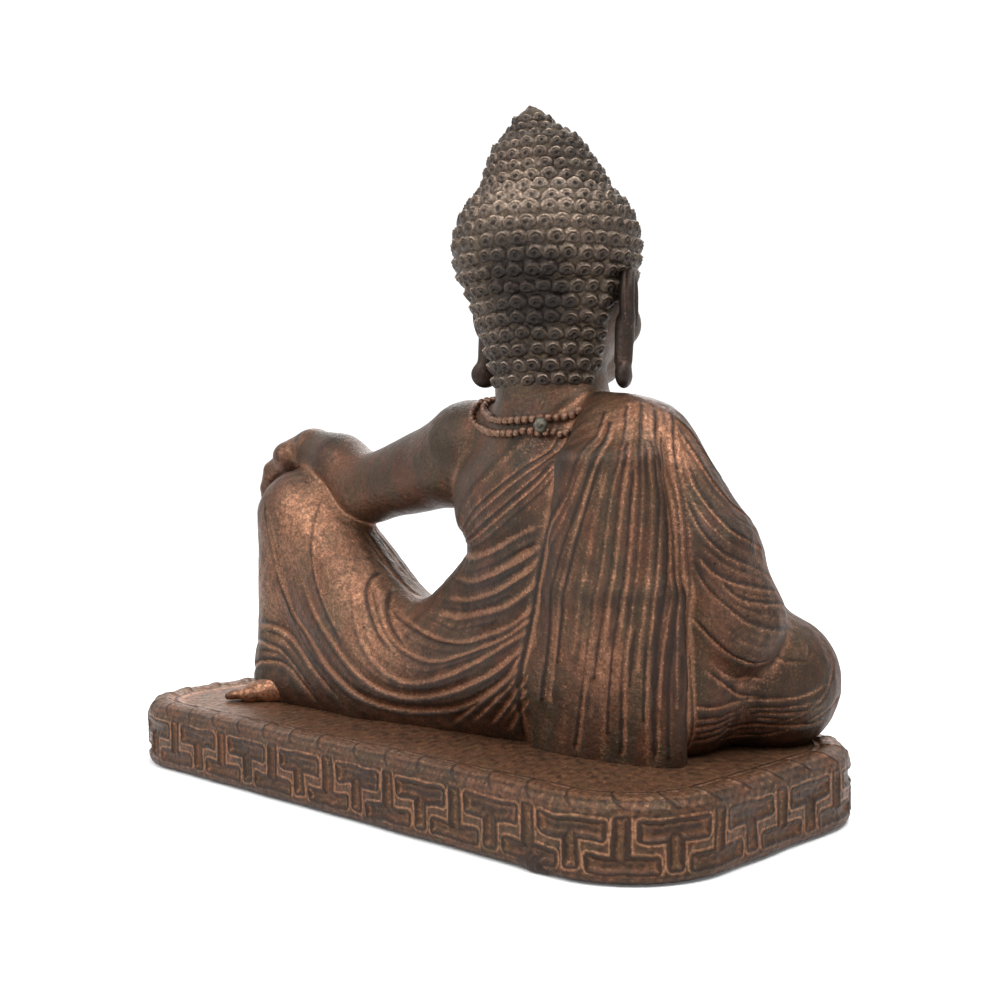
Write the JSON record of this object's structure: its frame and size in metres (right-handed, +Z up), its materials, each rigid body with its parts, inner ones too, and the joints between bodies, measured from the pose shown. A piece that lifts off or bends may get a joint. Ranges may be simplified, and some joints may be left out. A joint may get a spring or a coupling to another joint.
{
  "type": "seated devotional figure",
  "caption": "Seated robed figure with curled hair, one arm resting on its raised knee, on a long rounded plinth with a fret band",
  "frame": {"origin": "centre of the footprint, at the height of the surface the pads stand on", "axes": "+X runs along the plinth's length toward the figure's own left and its raised knee; -Y is the way the figure faces; +Z is up"},
  "size_m": [0.4, 0.187, 0.3476],
  "materials": {
    "cast_copper_stone": "satin antique copper-brown coating over cast stone, rubbed brighter on the ridges",
    "aged_copper_stone": "the same coating left darker and less rubbed",
    "dowel_wood": "plain hardwood dowel, hidden",
    "felt": "matte black felt"
  },
  "bodies": {
    "root": {"plinth": "cast_copper_stone", "torso": "cast_copper_stone", "pelvis": "cast_copper_stone", "right_leg": "cast_copper_stone", "left_leg": "cast_copper_stone", "left_foot": "cast_copper_stone", "left_arm": "cast_copper_stone", "left_hand": "cast_copper_stone", "right_sleeve": "cast_copper_stone", "right_hand": "cast_copper_stone", "head": "cast_copper_stone", "ear_left": "cast_copper_stone", "ear_right": "cast_copper_stone", "robe_drape": "cast_copper_stone", "necklace_upper": "cast_copper_stone", "necklace_lower": "cast_copper_stone", "hair_cap": "aged_copper_stone", "topknot": "aged_copper_stone", "necklace_clasp": "aged_copper_stone", "neck_dowel": "dowel_wood", "crown_dowel": "dowel_wood", "waist_dowel": "dowel_wood", "seat_dowel_back": "dowel_wood", "seat_dowel_leg": "dowel_wood", "pad_front_left": "felt", "pad_front_right": "felt", "pad_back_left": "felt", "pad_back_right": "felt"}
  },
  "joints": []
}
